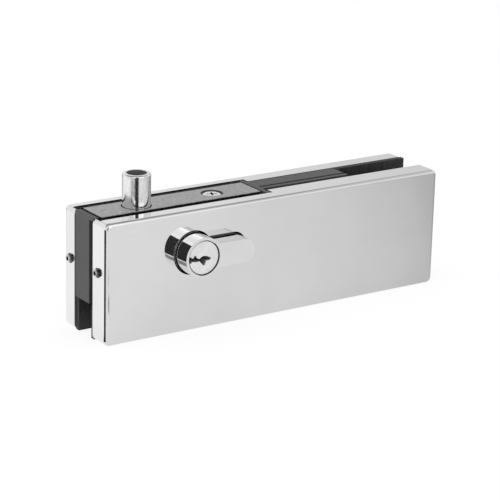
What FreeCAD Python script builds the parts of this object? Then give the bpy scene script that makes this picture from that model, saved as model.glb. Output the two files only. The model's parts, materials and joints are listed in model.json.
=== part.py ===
# Corner patch fitting with a floor lock, for a frameless glass door.
# X runs along the fitting, Y through its thickness with the photographed face at -Y, and Z is up.
# The origin lies on the surface the fitting stands on, in the middle of its length and thickness.
import FreeCAD, Part
import math
import os
import re
import Sketcher

Vector = FreeCAD.Vector
doc = FreeCAD.newDocument("floor_lock_patch")

# Driving dimensions in millimetres. "FromEnd" sizes count from the left end of the covers.
drivingSizes = (
    ("coverLength", 165, "length of both covers"),
    ("coverHeight", 51, "height of both covers"),
    ("bodyThickness", 33, "thickness over the two cover faces"),
    ("coverSheet", 1.2, "sheet thickness of the covers"),
    ("cornerRadius", 2.4, "radius of the cover corners seen from the front"),
    ("foldRadius", 1.6, "outer radius of the folds round the cover face"),
    ("coverPlay", 0.3, "gap between a cover and the clamp plate inside it"),
    ("frontRelief", 10.3, "edge of the front top flange beside the faceplate, from the middle"),
    ("rearRelief", 11.7, "the same edge of the rear top flange"),
    ("reliefLength", 83.2, "where those edges end, from the left end"),
    ("glassThickness", 10, "glass that the fitting clamps"),
    ("glassShift", 1.1, "middle of the glass behind the middle of the covers"),
    ("gasketThickness", 2.2, "gasket between glass and clamp plate"),
    ("flangePlay", 0.1, "cover edge behind the face of its clamp plate"),
    ("gasketMargin", 0.8, "gasket ends inside the cover ends"),
    ("gasketEdge", 0.1, "gasket inside the upper and lower cover edges"),
    ("clampMargin", 1.7, "clamp plate edge inside the cover edge"),
    ("ledgeDepth", 6, "ledge of the clamp plates beside the faceplate, below the cover edges"),
    ("plateFromEnd", 3.3, "left edge of the faceplate"),
    ("plateLength", 75.8, "faceplate length"),
    ("plateWidth", 14.8, "faceplate width"),
    ("plateThickness", 2.5, "faceplate thickness"),
    ("plateProud", 0.3, "faceplate surface above the cover edges"),
    ("plateCorner", 0.4, "radius of the faceplate's corners"),
    ("plateLeftGap", 0.5, "lock case to the faceplate's left end"),
    ("plateRightGap", 1.8, "lock case to the faceplate's right end"),
    ("caseFromEnd", 0.2, "left face of the lock case"),
    ("caseEnd", 127, "right face of the lock case, from the left end"),
    ("caseBottom", 14.5, "underside of the lock case, where the glass notch ends"),
    ("caseDrop", 0.2, "top of the lock case below the cover edges"),
    ("casePlay", 0.1, "lock case to the clamp plates"),
    ("caseParting", 3, "joint of case and case cover, in front of the middle"),
    ("caseInset", 3, "left edge of the case cover behind the case's left face"),
    ("caseStep", 3.2, "top of the case cover below the top of the case"),
    ("caseLip", 1.2, "height of the case's lip beside the faceplate's left end"),
    ("shoulderPlay", 0.4, "gap round the case's shoulder at the faceplate's right end"),
    ("grooveNear", 1.1, "groove along the top of the case, from the middle to its back wall"),
    ("grooveWidth", 1.6, "width of that groove"),
    ("grooveDepth", 1.2, "depth of that groove"),
    ("caseCorner", 9, "radius of the corner that sits in the glass notch"),
    ("cavityHalf", 5.1, "half width of the space for the mechanism"),
    ("boltFromEnd", 23.7, "bolt axis"),
    ("boltRadius", 5.85, "outer radius of the tubular bolt"),
    ("boltHollow", 4.1, "inner radius of the tubular bolt"),
    ("boltThrow", 14, "travel of the bolt, and its reach above the covers"),
    ("boltRim", 0.8, "rounding of the bolt's rim"),
    ("boltPlay", 0.3, "gap round the bolt in the case"),
    ("boltMouth", 0.4, "gap round the bolt in the faceplate"),
    ("pinRadius", 1.25, "cross pin between bolt tube and carriage"),
    ("pinHeight", 2.4, "pin axis above the foot of the bolt tube"),
    ("pinInset", 0.2, "pin end below the surface of the bolt tube"),
    ("spigotLength", 9, "carriage spigot inside the bolt tube"),
    ("bossWall", 1.55, "wall of the boss round the bolt"),
    ("bossBelow", 1.8, "boss below the foot of the bolt tube when drawn in"),
    ("bossPlay", 0.4, "gap round the boss in the front clamp plate"),
    ("carriageDepth", 20, "foot of the bolt carriage below the cover edges when thrown"),
    ("carriageHalf", 4.8, "half of the carriage thickness"),
    ("carriageLeft", 5.8, "carriage reach to the left of the bolt axis"),
    ("carriageRight", 7.7, "carriage reach to the right of the bolt axis"),
    ("notchHalf", 1.9, "half height of the notch that the cam drives"),
    ("notchFlare", 0.8, "bevel on the mouth of that notch"),
    ("notchWall", 2.4, "carriage above the notch, up to the foot of the bolt tube"),
    ("leafPocket", 2.6, "depth of the pocket for the leaf spring"),
    ("leafPlay", 0.15, "leaf spring to bolt carriage"),
    ("leafReach", 11, "half of the height of the leaf spring"),
    ("leafBow", 32, "inner radius of its bow"),
    ("leafThickness", 0.5, "thickness of its strip"),
    ("leafHalf", 3, "half of the width of its strip"),
    ("leafSide", 0.2, "gap beside the strip in its pocket"),
    ("leafRoom", 1, "gap above and below the strip in its pocket"),
    ("cylinderFromEnd", 40.7, "axis of the lock cylinder"),
    ("cylinderHeight", 33.3, "axis of the lock cylinder above the lower edge"),
    ("cylinderReach", 8.3, "how far the cylinder stands out of each cover"),
    ("euroRadius", 8.5, "round part of the cylinder profile"),
    ("euroTail", 24.5, "cylinder axis to the end of the tail"),
    ("euroTailHalf", 5, "half height of the tail"),
    ("coverCutout", 0.8, "gap round the cylinder in the covers"),
    ("caseCutout", 0.25, "gap round the cylinder in the lock case"),
    ("clampCutout", 0.8, "gap round the cylinder in the clamp plates"),
    ("slotHalf", 5, "half width of the cam slot in the cylinder"),
    ("slotReach", 11, "depth of the cam slot past the cylinder axis"),
    ("plugRadius", 6.5, "radius of the turning plugs"),
    ("plugRim", 7.15, "radius of the flange on a plug's face"),
    ("plugRimDepth", 1.2, "thickness of that flange"),
    ("plugRimPlay", 0.2, "gap round that flange in the housing"),
    ("plugRecess", 0.5, "plug face below the rim of the cylinder"),
    ("plugEnd", 2.6, "inner end of a plug, from the middle plane"),
    ("keywayMouth", 1.3, "half height of the keyway's open side"),
    ("keywayWall", 0.8, "depth of that open side in the plug"),
    ("keywayDrop", 0.2, "middle of the keyway below the plug's axis"),
    ("bladeReach", 4.5, "half length of the clutch blade"),
    ("bladeHalf", 1.2, "half thickness of the clutch blade"),
    ("bladeDepth", 1, "depth of the clutch blade in its plug"),
    ("earHalf", 1, "half thickness of the clutch's drive ear"),
    ("earRoot", 0.5, "start of that ear inside the plug radius"),
    ("clutchPlay", 0.1, "gap round the clutch, its blade and its ear"),
    ("runningFit", 0.05, "radial clearance of what turns or is screwed in"),
    ("camHalf", 4.8, "half of the cam thickness"),
    ("camRing", 8.2, "outer radius of the cam ring"),
    ("camReach", 12.6, "cylinder axis to the centre of the cam tip"),
    ("camTip", 1.6, "radius of the cam tip"),
    ("camRoot", 2.4, "half thickness of the cam lever at its ring"),
    ("camNeck", 1.1, "half thickness of the cam behind its tip"),
    ("camNeckLength", 3, "length of that thin part, from the centre of the tip"),
    ("camOverlap", 1.2, "start of the lever inside the cam ring"),
    ("camSweep", 14.5, "radius of the space that the cam turns in"),
    ("clipGroove", 5.9, "radius at the bottom of the circlip groove"),
    ("clipRadius", 7.3, "outer radius of a circlip"),
    ("clipNear", 3.9, "circlip side nearer the middle plane"),
    ("clipThickness", 0.8, "circlip thickness"),
    ("clipOpening", 2.5, "half width of a circlip's opening"),
    ("clipPlay", 0.3, "gap round a circlip in the cam ring"),
    ("clipSide", 0.4, "gap beside a circlip in the cam ring"),
    ("fixingFromAxis", 19.2, "cylinder axis to its fixing screw"),
    ("fixingRadius", 2.5, "M5 cylinder fixing screw"),
    ("fixingHead", 4, "radius of that screw's head"),
    ("fixingDome", 0.3, "height of the raised middle of the head"),
    ("fixingDomeEdge", 0.8, "raised middle inside the edge of the head"),
    ("fixingShort", 1.3, "end of the screw above the underside of the cylinder's tail"),
    ("crossLength", 4.4, "length of the cross recess in the head"),
    ("crossWidth", 0.9, "width of its arms"),
    ("crossDepth", 0.7, "depth of its arms below the edge of the head"),
    ("crossCore", 1.8, "depth of the conical hole in the middle of the cross"),
    ("crossTurn", -24, "turn of the cross, in degrees"),
    ("fixingHole", 0.25, "gap round its shank in faceplate and case"),
    ("fixingSink", 4.6, "radius of the countersink in the faceplate"),
    ("clampScrew", 3, "M6 clamp screws"),
    ("clampScrewPlay", 0.2, "gap round a clamp screw in the clamp plates"),
    ("clampScrewPassage", 0.3, "gap round a clamp screw in the lock case"),
    ("clampScrewShort", 1.5, "end of a clamp screw inside the back of the rear clamp plate"),
    ("clampLeft", 11, "left clamp screw, from the left end"),
    ("clampLeftHeight", 23, "its height"),
    ("clampMiddle", 91.5, "middle clamp screw, from the left end"),
    ("clampMiddleDrop", 11, "middle clamp screw below the cover's upper edge"),
    ("clampRightInset", 12.5, "right clamp screw, from the right face of the lock case"),
    ("clampRightHeight", 24, "its height"),
    ("clampHead", 5.6, "radius of the countersinks for their heads"),
    ("clampSocket", 2.31, "corner radius of their 4 mm hexagon sockets"),
    ("clampSocketDepth", 3, "depth of those sockets"),
    ("insertRadius", 4.5, "threaded steel inserts in the rear clamp plate"),
    ("insertLength", 6, "length of those inserts"),
    ("caseScrew", 1.5, "M3 case screws"),
    ("caseScrewPlay", 0.1, "gap round a case screw in the case cover"),
    ("caseScrewRoom", 0.5, "hole in the case beyond the end of a case screw"),
    ("caseScrewInset", 3.5, "case screws inside the edges of the case cover"),
    ("caseScrewMiddle", 72, "middle case screw, from the left end"),
    ("caseScrewHead", 2.75, "radius of the countersinks for their heads"),
    ("caseScrewLength", 8, "length of the case screws"),
    ("smallSocket", 1.15, "corner radius of the 2 mm hexagon sockets"),
    ("smallSocketDepth", 1.2, "depth of those sockets in the case screws"),
    ("headPlay", 0.1, "countersunk head to its countersink"),
    ("headBelow", 0.05, "countersunk head below the surface round it"),
    ("grubRadius", 2, "M4 grub screws that hold the covers"),
    ("grubLength", 6, "grub screw length"),
    ("grubSocketDepth", 2, "depth of the hexagon socket of a grub screw"),
    ("grubBevel", 0.5, "bevel on the grub screw's edge"),
    ("grubShows", 1.4, "how far a grub screw stands out of the cover"),
    ("grubPlay", 0.1, "gap round a grub screw in the cover"),
    ("frontGrub", 10.1, "axis of the front grub screws, from the middle"),
    ("rearGrub", 11.9, "axis of the rear grub screws, from the middle"),
    ("grubHeight", 29.5, "grub screw axis above the lower edge"),
    ("cutBeyond", 1, "how far a cut runs past the surface that it opens"),
)
tolerance = 0.01  # mm, or mm3 where volumes are compared

# The outline of the keyway round its wards, seen from the front: millimetres across and up from its middle.
# None stands for the inner side of the keyway's mouth.
keywayWards = ((None, -0.7), (-3.7, -1.1), (-2, -1), (-0.1, -3.1), (0.4, -3), (1.1, -1.2), (2.9, -1.1),
               (3.5, -0.6), (3.1, 0), (1.1, 0.8), (0, 1), (-1.1, 0.7), (-2.1, 0), (-3.2, 0.5), (-3.7, 1.6),
               (-4.5, 1.6), (-4.8, 0.7), (None, 0.7))

sizes = doc.addObject("Spreadsheet::Sheet", "sizes")
for row, (alias, number, note) in enumerate(drivingSizes, 1):
    sizes.set(f"A{row}", note)
    sizes.set(f"B{row}", str(number))
    sizes.setAlias(f"B{row}", alias)
doc.recompute()

aliases = {alias for alias, number, note in drivingSizes}
subParts = {}


def linked(text):
    """Turn plain size names into references to the sheet."""
    return re.sub(r"[A-Za-z]\w*", lambda word: "sizes." + word[0] if word[0] in aliases else word[0],
                  str(text))


def value(text):
    number = sizes.evalExpression(linked(text))
    return getattr(number, "Value", number)


def bind(thing, setting, text):
    thing.setExpression(setting, linked(text))


# Places that follow from the driving dimensions.
leftEnd = "(0 - coverLength / 2)"
rightEnd = "(coverLength / 2)"
frontFace = "(0 - bodyThickness / 2)"
clampBack = "(bodyThickness / 2 - coverSheet - coverPlay)"
reliefEnd = f"({leftEnd} + reliefLength)"
plateTop = "(coverHeight + plateProud)"
plateUnder = f"({plateTop} - plateThickness)"
plateLeft = f"({leftEnd} + plateFromEnd)"
plateRight = f"({plateLeft} + plateLength)"
caseLeft = f"({leftEnd} + caseFromEnd)"
caseRight = f"({leftEnd} + caseEnd)"
caseTop = "(coverHeight - caseDrop)"
caseFront = "(glassThickness / 2 - glassShift + gasketThickness - casePlay)"
caseBack = "(glassThickness / 2 + glassShift + gasketThickness - casePlay)"
caseCoverLeft = f"({caseLeft} + caseInset)"
caseCoverTop = f"({caseTop} - caseStep)"
boltX = f"({leftEnd} + boltFromEnd)"
boltTop = "(coverHeight + boltThrow)"
notchZ = "(cylinderHeight + boltThrow / 2)"
boltFoot = f"({notchZ} + notchHalf + notchWall)"
boreRadius = "(boltRadius + boltPlay)"
bossRadius = f"({boreRadius} + bossWall)"
bossFoot = f"({boltFoot} - boltThrow - bossBelow)"
carriageFoot = "(coverHeight - carriageDepth)"
cylinderX = f"({leftEnd} + cylinderFromEnd)"
cylinderFront = "(bodyThickness / 2 + cylinderReach)"
tailCentre = f"({cylinderX} + euroTail - euroTailHalf)"
fixingX = f"({cylinderX} + fixingFromAxis)"
plugFace = f"({cylinderFront} - plugRecess)"
thrownAngle = "asin(boltThrow / 2 / camReach)"

# Places of the repeated screws, along the fitting and upwards.
clampScrewPlaces = ((f"{leftEnd} + clampLeft", "clampLeftHeight"),
                    (f"{leftEnd} + clampMiddle", "coverHeight - clampMiddleDrop"),
                    (f"{caseRight} - clampRightInset", "clampRightHeight"))
caseScrewPlaces = ((f"{caseCoverLeft} + caseScrewInset", "caseBottom + caseScrewInset"),
                   (f"{caseCoverLeft} + caseScrewInset", f"{caseCoverTop} - caseScrewInset"),
                   (f"{leftEnd} + caseScrewMiddle", "caseBottom + caseScrewInset"),
                   (f"{caseRight} - caseScrewInset", f"{caseCoverTop} - caseScrewInset"))

# What differs between the two sides: the sign of Y, the flange edge and the axis of the grub screws.
frontSide = (-1, "frontRelief", "frontGrub")
rearSide = (1, "rearRelief", "rearGrub")


def clampFace(side):
    """How far from the middle plane the clamp plate of one side meets its gasket."""
    return f"(glassThickness / 2 + {side} * glassShift + gasketThickness)"


def keep(label, thing):
    thing.Label = label
    subParts[label] = thing
    return thing


def newBody(label):
    return keep(label, doc.addObject("PartDesign::Body", label))


def fix(sketch, kind, geometry, point, text):
    """Dimension one point of a sketch from its origin and tie the dimension to the sheet."""
    number = sketch.addConstraint(Sketcher.Constraint(kind, -1, 1, geometry, point, value(text)))
    bind(sketch, f"Constraints[{number}]", text)


def fixPoint(sketch, geometry, point, across, up):
    fix(sketch, "DistanceX", geometry, point, across)
    fix(sketch, "DistanceY", geometry, point, up)


def fixRadius(sketch, geometry, radius):
    number = sketch.addConstraint(Sketcher.Constraint("Radius", geometry, value(radius)))
    bind(sketch, f"Constraints[{number}]", radius)


def polygon(*corners):
    """A closed outline through corners given as pairs of size expressions."""
    def draw(sketch):
        first = sketch.GeometryCount
        points = [Vector(value(across), value(up), 0) for across, up in corners]
        for start, end in zip(points, points[1:] + points[:1]):
            sketch.addGeometry(Part.LineSegment(start, end))
        for index, (across, up) in enumerate(corners):
            following = first + (index + 1) % len(corners)
            sketch.addConstraint(Sketcher.Constraint("Coincident", first + index, 2, following, 1))
            fixPoint(sketch, first + index, 1, across, up)
    return draw


def rectangle(left, low, right, high):
    return polygon((left, low), (right, low), (right, high), (left, high))


def turned(across, up, angle):
    """A sketch point carried round its origin, the way the cam turns to lift the bolt."""
    return (f"({across}) * cos({angle}) + ({up}) * sin({angle})",
            f"({up}) * cos({angle}) - ({across}) * sin({angle})")


def circle(across, up, radius):
    def draw(sketch):
        centre = Vector(value(across), value(up), 0)
        number = sketch.addGeometry(Part.Circle(centre, Vector(0, 0, 1), value(radius)))
        fixPoint(sketch, number, 3, across, up)
        fixRadius(sketch, number, radius)
    return draw


def rounded(centres, radius):
    """An outline of arcs about centres given in turn, joined by straight tangents."""
    def draw(sketch):
        span = 2 * math.pi / len(centres)
        arcs = []
        for index, (across, up) in enumerate(centres):
            ring = Part.Circle(Vector(value(across), value(up), 0), Vector(0, 0, 1), value(radius))
            start = index * span - 0.5 * math.pi
            arcs.append(sketch.addGeometry(Part.ArcOfCircle(ring, start, start + span)))
            fixPoint(sketch, arcs[-1], 3, across, up)
            fixRadius(sketch, arcs[-1], radius)
        for arc, following in zip(arcs, arcs[1:] + arcs[:1]):
            side = Part.LineSegment(sketch.getPoint(arc, 2), sketch.getPoint(following, 1))
            line = sketch.addGeometry(side)
            sketch.addConstraint(Sketcher.Constraint("Tangent", arc, 2, line, 1))
            sketch.addConstraint(Sketcher.Constraint("Tangent", line, 2, following, 1))
    return draw


def stadium(left, right, up, radius):
    """A slot outline with half-round ends about the two given centres."""
    return rounded(((right, up), (left, up)), radius)


def roundedRectangle(left, low, right, high, radius):
    centres = [(f"{right} - {radius}", f"{low} + {radius}"), (f"{right} - {radius}", f"{high} - {radius}"),
               (f"{left} + {radius}", f"{high} - {radius}"), (f"{left} + {radius}", f"{low} + {radius}")]
    return rounded(centres, radius)


def sketchOn(body, plane, place):
    """A sketch parallel to one of the body's origin planes, at a place along the third axis."""
    origin = [feature for feature in body.Origin.OriginFeatures if feature.Role == plane][0]
    sketch = body.newObject("Sketcher::SketchObject", body.Label + "_sketch")
    sketch.AttachmentSupport = [(origin, "")]
    sketch.MapMode = "FlatFace"
    side = "0 - " if plane == "XZ_Plane" else ""
    bind(sketch, "AttachmentOffset.Base.z", f"{side}({place})")
    return sketch


def slab(body, plane, outline, start, end, cut=False):
    """Add, or cut away, an outline drawn on a plane and carried from start to end."""
    if value(start) > value(end):
        start, end = end, start
    before = 0 if body.Shape.isNull() else body.Shape.Volume
    sketch = sketchOn(body, plane, start)
    outline(sketch)
    doc.recompute()
    feature = body.newObject("PartDesign::Pocket" if cut else "PartDesign::Pad", body.Label + "_slab")
    feature.Profile = sketch
    bind(feature, "Length", f"({end}) - ({start})")
    feature.Reversed = (plane == "XZ_Plane") != cut
    doc.recompute()
    change = body.Shape.Volume - before
    if (cut and change > -tolerance) or (not cut and change < tolerance):
        raise RuntimeError(f"{feature.Label} changed nothing")


def dress(body, kind, setting, size, chosen):
    """Round or bevel the edges of a body that a test picks out."""
    base = body.Tip
    names = [f"Edge{number}" for number, edge in enumerate(base.Shape.Edges, 1) if chosen(edge)]
    feature = body.newObject(kind, body.Label + "_edges")
    feature.Base = (base, names)
    bind(feature, setting, size)
    doc.recompute()


def fillet(body, radius, chosen):
    dress(body, "PartDesign::Fillet", "Radius", radius, chosen)


def chamfer(body, size, chosen):
    dress(body, "PartDesign::Chamfer", "Size", size, chosen)


def near(first, second):
    return abs(first - second) < tolerance


def runsAlong(edge, axis):
    box = edge.BoundBox
    spans = {"x": box.XLength, "y": box.YLength, "z": box.ZLength}
    return all(span < tolerance for name, span in spans.items() if name != axis)


def place(thing, x, y, z, axis=(0, 0, 1), angle=0):
    """Turn a thing about an axis and bind its place to the sheet."""
    thing.Placement = FreeCAD.Placement(Vector(), FreeCAD.Rotation(Vector(*axis), angle))
    for letter, text in zip("xyz", (x, y, z)):
        bind(thing, "Placement.Base." + letter, text)
    return thing


def primitive(kind, name, start="0", **settings):
    """A Part primitive about the Z axis that starts at the given height."""
    thing = doc.addObject("Part::" + kind, name)
    for setting, text in settings.items():
        bind(thing, setting, text)
    bind(thing, "Placement.Base.z", start)
    return thing


def joined(name, *pieces):
    thing = doc.addObject("Part::MultiFuse", name)
    thing.Shapes = list(pieces)
    return thing


def cutAway(name, base, tool):
    thing = doc.addObject("Part::Cut", name)
    thing.Base = base
    thing.Tool = tool
    return thing


def grouped(label, pieces):
    """Identical pieces in one sub-part, as separate solids."""
    group = doc.addObject("Part::Compound", label)
    group.Links = pieces
    return keep(label, group)


def mirrored(label, source):
    """The same piece on the other side of the middle plane."""
    thing = doc.addObject("Part::Mirroring", label)
    thing.Source = source
    thing.Base = Vector(0, 0, 0)
    thing.Normal = Vector(0, 1, 0)
    return keep(label, thing)


def cutCylinderProfile(body, gap, start, end):
    """Cut the key-cylinder profile, widened by a gap, through a body."""
    outer = circle(cylinderX, "cylinderHeight", f"euroRadius + {gap}")
    tail = stadium(cylinderX, tailCentre, "cylinderHeight", f"euroTailHalf + {gap}")
    slab(body, "XZ_Plane", outer, start, end, cut=True)
    slab(body, "XZ_Plane", tail, start, end, cut=True)


def makeCover(label, sideSizes):
    """A folded sheet cap with a cut-out for the cylinder and a relieved top flange."""
    side, reliefEdge, grubAxis = sideSizes
    body = newBody(label)
    face = f"{side} * bodyThickness / 2"
    openEdge = f"{side} * ({clampFace(side)} + flangePlay)"
    outline = roundedRectangle(leftEnd, "0", rightEnd, "coverHeight", "cornerRadius")
    slab(body, "XZ_Plane", outline, face, openEdge)
    faceY = value(face)
    fillet(body, "foldRadius",
           lambda edge: near(edge.BoundBox.YMin, faceY) and near(edge.BoundBox.YMax, faceY))
    left = f"{leftEnd} + coverSheet"
    right = f"{rightEnd} - coverSheet"
    inside = roundedRectangle(left, "coverSheet", right, "(coverHeight - coverSheet)",
                              "(cornerRadius - coverSheet)")
    behindFace = f"{side} * (bodyThickness / 2 - coverSheet)"
    slab(body, "XZ_Plane", inside, behindFace, openEdge, cut=True)
    cutCylinderProfile(body, "coverCutout", face, behindFace)
    relief = rectangle(left, f"{side} * {reliefEdge}", reliefEnd, openEdge)
    slab(body, "XY_Plane", relief, "coverHeight - cornerRadius", "coverHeight", cut=True)
    hole = circle(f"{side} * {grubAxis}", "grubHeight", "grubRadius + grubPlay")
    slab(body, "YZ_Plane", hole, leftEnd, rightEnd, cut=True)
    return body


def makeClampPlate(label, sideSizes):
    """A cast plate that presses one side of the glass."""
    side, reliefEdge, grubAxis = sideSizes
    body = newBody(label)
    inner = f"{side} * {clampFace(side)}"
    outer = f"{side} * {clampBack}"
    left = f"{leftEnd} + clampMargin"
    right = f"{rightEnd} - clampMargin"
    slab(body, "XZ_Plane", rectangle(left, "clampMargin", right, "coverHeight - clampMargin"), inner, outer)
    fillet(body, "cornerRadius - coverSheet", lambda edge: runsAlong(edge, "y"))
    cutCylinderProfile(body, "clampCutout", inner, outer)
    ledge = rectangle(left, f"{side} * {reliefEdge}", reliefEnd, "0")
    slab(body, "XY_Plane", ledge, "coverHeight - ledgeDepth", "coverHeight", cut=True)
    for across, up in clampScrewPlaces:
        hole = circle(across, up, "clampScrew + clampScrewPlay")
        slab(body, "XZ_Plane", hole, inner, outer, cut=True)
    grubPlace = circle(f"{side} * {grubAxis}", "grubHeight", "grubRadius + runningFit")
    slab(body, "YZ_Plane", grubPlace, left, f"{left} + grubLength", cut=True)
    slab(body, "YZ_Plane", grubPlace, f"{right} - grubLength", right, cut=True)
    return body


def makeFrontClamp():
    """The front plate, with room for the bolt's boss and countersinks for the clamp screws."""
    body = makeClampPlate("front_clamp", frontSide)
    room = circle(boltX, "0", f"{bossRadius} + bossPlay")
    slab(body, "XY_Plane", room, f"{bossFoot} - bossPlay", "coverHeight", cut=True)
    outerY = -value(clampBack)
    holeX = [value(across) for across, up in clampScrewPlaces]
    chamfer(body, "clampHead - clampScrew",
            lambda edge: near(edge.BoundBox.YMin, outerY) and near(edge.BoundBox.YMax, outerY)
            and any(near(edge.BoundBox.Center.x, x) for x in holeX) and edge.Closed)
    return body


def makeRearClamp():
    """The rear plate, with seats for the threaded inserts."""
    body = makeClampPlate("rear_clamp", rearSide)
    for across, up in clampScrewPlaces:
        seat = circle(across, up, "insertRadius + runningFit")
        slab(body, "XZ_Plane", seat, f"{clampBack} - insertLength", clampBack, cut=True)
    return body


def makeGasket(label, sideSizes):
    """An L of gasket sheet that covers the clamp plate wherever there is glass."""
    side = sideSizes[0]
    body = newBody(label)
    left = f"{leftEnd} + gasketMargin"
    right = f"{rightEnd} - gasketMargin"
    high = "coverHeight - gasketEdge"
    step = f"{caseRight} + coverPlay"
    shelf = "caseBottom - coverPlay"
    outline = polygon((left, "gasketEdge"), (right, "gasketEdge"), (right, high),
                      (step, high), (step, shelf), (left, shelf))
    glassFace = f"{side} * ({clampFace(side)} - gasketThickness)"
    slab(body, "XZ_Plane", outline, f"{side} * {clampFace(side)}", glassFace)
    fillet(body, "caseCorner + coverPlay",
           lambda edge: runsAlong(edge, "y") and near(edge.BoundBox.XMin, value(step))
           and near(edge.BoundBox.ZMin, value(shelf)))
    return body


def caseBlank(label, left, top, start, end):
    """One half of the lock case: its outline with the boss that guides the bolt."""
    body = newBody(label)
    slab(body, "XZ_Plane", rectangle(left, "caseBottom", caseRight, top), start, end)
    fillet(body, "caseCorner",
           lambda edge: runsAlong(edge, "y") and near(edge.BoundBox.XMin, value(caseRight))
           and near(edge.BoundBox.ZMin, value("caseBottom")))
    slab(body, "XY_Plane", circle(boltX, "0", bossRadius), bossFoot, plateUnder)
    return body


def finishCase(body, front, cavityFront, cavityBack, back, otherSide):
    """Cut what case and case cover share: the mechanism's space, the bolt bore and the holes."""
    beyond = rectangle(f"{boltX} - 2 * boltRadius", "0 - caseParting", f"{boltX} + 2 * boltRadius", otherSide)
    slab(body, "XY_Plane", beyond, bossFoot, plateUnder, cut=True)
    channel = rectangle(f"{boltX} - carriageLeft - boltPlay", f"{carriageFoot} - boltThrow - boltPlay",
                        f"{boltX} + carriageRight + boltPlay", plateUnder)
    slab(body, "XZ_Plane", channel, cavityFront, cavityBack, cut=True)
    slab(body, "XZ_Plane", circle(cylinderX, "cylinderHeight", "camSweep"), cavityFront, cavityBack, cut=True)
    bore = circle(boltX, "0", boreRadius)
    slab(body, "XY_Plane", bore, f"{boltFoot} - boltThrow - boltPlay", plateUnder, cut=True)
    cutCylinderProfile(body, "caseCutout", front, back)
    for across, up in clampScrewPlaces:
        hole = circle(across, up, "clampScrew + clampScrewPassage")
        slab(body, "XZ_Plane", hole, front, back, cut=True)


def makeLockCase():
    """The cast case behind the parting plane, which holds the whole mechanism."""
    parting = "(0 - caseParting)"
    body = caseBlank("lock_case", caseLeft, caseTop, parting, caseBack)
    finishCase(body, parting, parting, "cavityHalf", caseBack, "0 - bodyThickness / 2")
    recessLeft = f"{plateLeft} - plateLeftGap"
    recess = rectangle(recessLeft, "0 - bodyThickness / 2", f"{plateRight} + plateRightGap",
                       "bodyThickness / 2")
    slab(body, "XY_Plane", recess, plateUnder, "coverHeight", cut=True)
    lip = rectangle(caseLeft, f"{caseTop} - caseLip", recessLeft, caseTop)
    slab(body, "XZ_Plane", lip, f"0 - {caseFront}", parting)
    shoulder = rectangle(f"{plateRight} + plateRightGap", "shoulderPlay - frontRelief",
                         f"{reliefEnd} - shoulderPlay", "rearRelief - shoulderPlay")
    slab(body, "XY_Plane", shoulder, plateUnder, caseTop)
    groove = rectangle("0 - grooveNear", f"{caseTop} - grooveDepth", "grooveWidth - grooveNear", caseTop)
    slab(body, "YZ_Plane", groove, reliefEnd, caseRight, cut=True)
    springSpace = rectangle(f"{boltX} - carriageLeft - leafPocket", f"{carriageFoot} - leafReach - leafRoom",
                            f"{boltX} - carriageLeft", f"{carriageFoot} + leafReach + leafRoom")
    slab(body, "XZ_Plane", springSpace, parting, "leafHalf + leafSide", cut=True)
    passage = circle(fixingX, "0", "fixingRadius + fixingHole")
    slab(body, "XY_Plane", passage, "cylinderHeight", plateUnder, cut=True)
    for across, up in caseScrewPlaces:
        hole = circle(across, up, "caseScrew + runningFit")
        slab(body, "XZ_Plane", hole, parting, f"caseScrewLength - {caseFront} + caseScrewRoom", cut=True)
    return body


def makeCaseCover():
    """The plate that closes the case in front, held by countersunk screws."""
    parting = "(0 - caseParting)"
    front = f"0 - {caseFront}"
    body = caseBlank("case_cover", caseCoverLeft, caseCoverTop, front, parting)
    finishCase(body, front, "0 - cavityHalf", parting, parting, "bodyThickness / 2")
    for across, up in caseScrewPlaces:
        hole = circle(across, up, "caseScrew + caseScrewPlay")
        slab(body, "XZ_Plane", hole, front, parting, cut=True)
    outerY = value(front)
    holeX = [value(across) for across, up in caseScrewPlaces]
    chamfer(body, "caseScrewHead - caseScrew",
            lambda edge: near(edge.BoundBox.YMin, outerY) and near(edge.BoundBox.YMax, outerY)
            and any(near(edge.BoundBox.Center.x, x) for x in holeX) and edge.Closed)
    return body


def makeFaceplate():
    """The plate that the bolt comes out of and the cylinder is screwed from."""
    body = newBody("faceplate")
    outline = rectangle(plateLeft, "0 - plateWidth / 2", plateRight, "plateWidth / 2")
    slab(body, "XY_Plane", outline, plateUnder, plateTop)
    fillet(body, "plateCorner", lambda edge: runsAlong(edge, "z"))
    slab(body, "XY_Plane", circle(boltX, "0", "boltRadius + boltMouth"), plateUnder, plateTop, cut=True)
    slab(body, "XY_Plane", circle(fixingX, "0", "fixingRadius + fixingHole"), plateUnder, plateTop, cut=True)
    chamfer(body, "fixingSink - fixingRadius - fixingHole",
            lambda edge: near(edge.BoundBox.ZMin, value(plateTop)) and edge.Closed
            and near(edge.BoundBox.Center.x, value(fixingX)))
    return body


def makeBoltTube():
    """The tubular bolt with its rounded rim, drawn in the thrown position."""
    body = newBody("bolt_tube")
    outer = circle(boltX, "0", "boltRadius")
    hollow = circle(boltX, "0", "boltHollow")

    def ring(sketch):
        outer(sketch)
        hollow(sketch)
    slab(body, "XY_Plane", ring, boltFoot, boltTop)
    top = value(boltTop)
    fillet(body, "boltRim",
           lambda edge: near(edge.BoundBox.ZMin, top)
           and edge.BoundBox.XLength > 2 * value("boltHollow") + tolerance)
    pinHole = circle(boltX, f"{boltFoot} + pinHeight", "pinRadius + runningFit")
    slab(body, "XZ_Plane", pinHole, "0 - boltRadius", "boltRadius", cut=True)
    return body


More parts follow.
